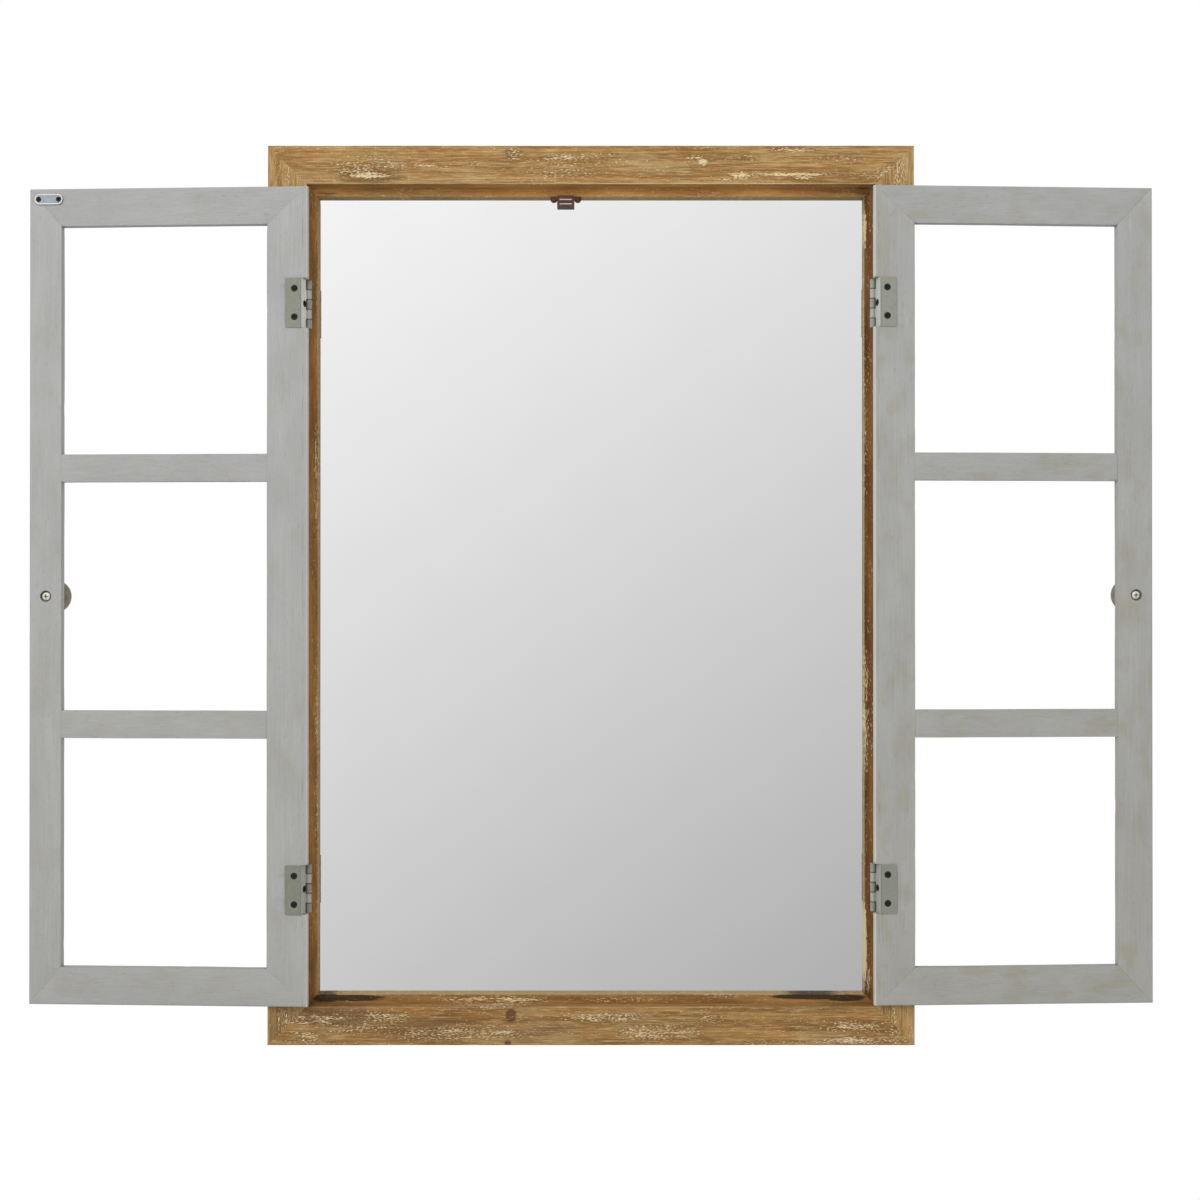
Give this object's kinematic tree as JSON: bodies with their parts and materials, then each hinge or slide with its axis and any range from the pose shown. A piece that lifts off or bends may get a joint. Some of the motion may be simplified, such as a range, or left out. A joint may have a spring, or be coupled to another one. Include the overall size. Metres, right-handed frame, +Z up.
{
  "type": "shutter mirror",
  "caption": "Wall mirror in a mitred stained-wood frame, with open-paned grey shutters on side hinges, shown swung open, and a magnetic catch under the top of the frame.",
  "frame": {"origin": "midway between the two keyhole hanging holes in the back of the frame, on the plane of the wall", "axes": "+X to the right seen from the room, +Y from the room into the wall, +Z up"},
  "size_m": [1.1216, 0.0474, 0.9],
  "materials": {
    "frame_wood": "brown stain with cream distressing",
    "shutter_paint": "grey paint brushed over wood",
    "mirror": "silvered glass",
    "hardboard": "raw hardboard",
    "zinc_plate": "bright zinc plate",
    "hinge_steel": "dull grey-green lacquered steel",
    "black_screw": "black oxide",
    "nickel_steel": "nickel plate",
    "catch_plastic": "dark brown plastic",
    "magnet": "ferrite",
    "knob": "worn brown-grey paint",
    "dowel_wood": "raw beech"
  },
  "bodies": {
    "frame": {"frame_top_rail": "frame_wood", "frame_bottom_rail": "frame_wood", "frame_left_stile": "frame_wood", "frame_right_stile": "frame_wood", "mirror_glass": "mirror", "backing_board": "hardboard", "retaining_tabs": "zinc_plate", "corner_brackets": "zinc_plate", "bracket_screws": "zinc_plate", "hanging_plate_left": "zinc_plate", "hanging_plate_right": "zinc_plate", "hanging_plate_screws": "zinc_plate", "catch_body": "catch_plastic", "catch_magnet": "magnet", "catch_poles": "nickel_steel", "catch_screws": "nickel_steel", "left_upper_frame_leaf": "hinge_steel", "left_lower_frame_leaf": "hinge_steel", "right_upper_frame_leaf": "hinge_steel", "right_lower_frame_leaf": "hinge_steel", "left_upper_hinge_pin": "hinge_steel", "left_lower_hinge_pin": "hinge_steel", "right_upper_hinge_pin": "hinge_steel", "right_lower_hinge_pin": "hinge_steel", "frame_leaf_screws": "black_screw"},
    "left_shutter": {"left_hinge_stile": "shutter_paint", "left_free_stile": "shutter_paint", "left_top_rail": "shutter_paint", "left_bottom_rail": "shutter_paint", "left_upper_muntin": "shutter_paint", "left_lower_muntin": "shutter_paint", "left_dowels": "dowel_wood", "left_upper_shutter_leaf": "hinge_steel", "left_lower_shutter_leaf": "hinge_steel", "left_leaf_screws": "black_screw", "left_knob": "knob", "left_knob_screw": "nickel_steel", "strike_plate": "nickel_steel", "strike_screws": "black_screw"},
    "right_shutter": {"right_hinge_stile": "shutter_paint", "right_free_stile": "shutter_paint", "right_top_rail": "shutter_paint", "right_bottom_rail": "shutter_paint", "right_upper_muntin": "shutter_paint", "right_lower_muntin": "shutter_paint", "right_dowels": "dowel_wood", "right_upper_shutter_leaf": "hinge_steel", "right_lower_shutter_leaf": "hinge_steel", "right_leaf_screws": "black_screw", "right_knob": "knob", "right_knob_screw": "nickel_steel"}
  },
  "joints": [
    {"name": "left_shutter_swing", "type": "hinge", "parent": "frame", "child": "left_shutter", "pos_m": [-0.28115, -0.0351, -0.3413], "axis": [0, 0, 1], "range_deg": [-1.5, 182.4]},
    {"name": "right_shutter_swing", "type": "hinge", "parent": "frame", "child": "right_shutter", "pos_m": [0.28115, -0.0351, -0.34], "axis": [0, 0, -1], "range_deg": [-1.5, 182.4]}
  ]
}
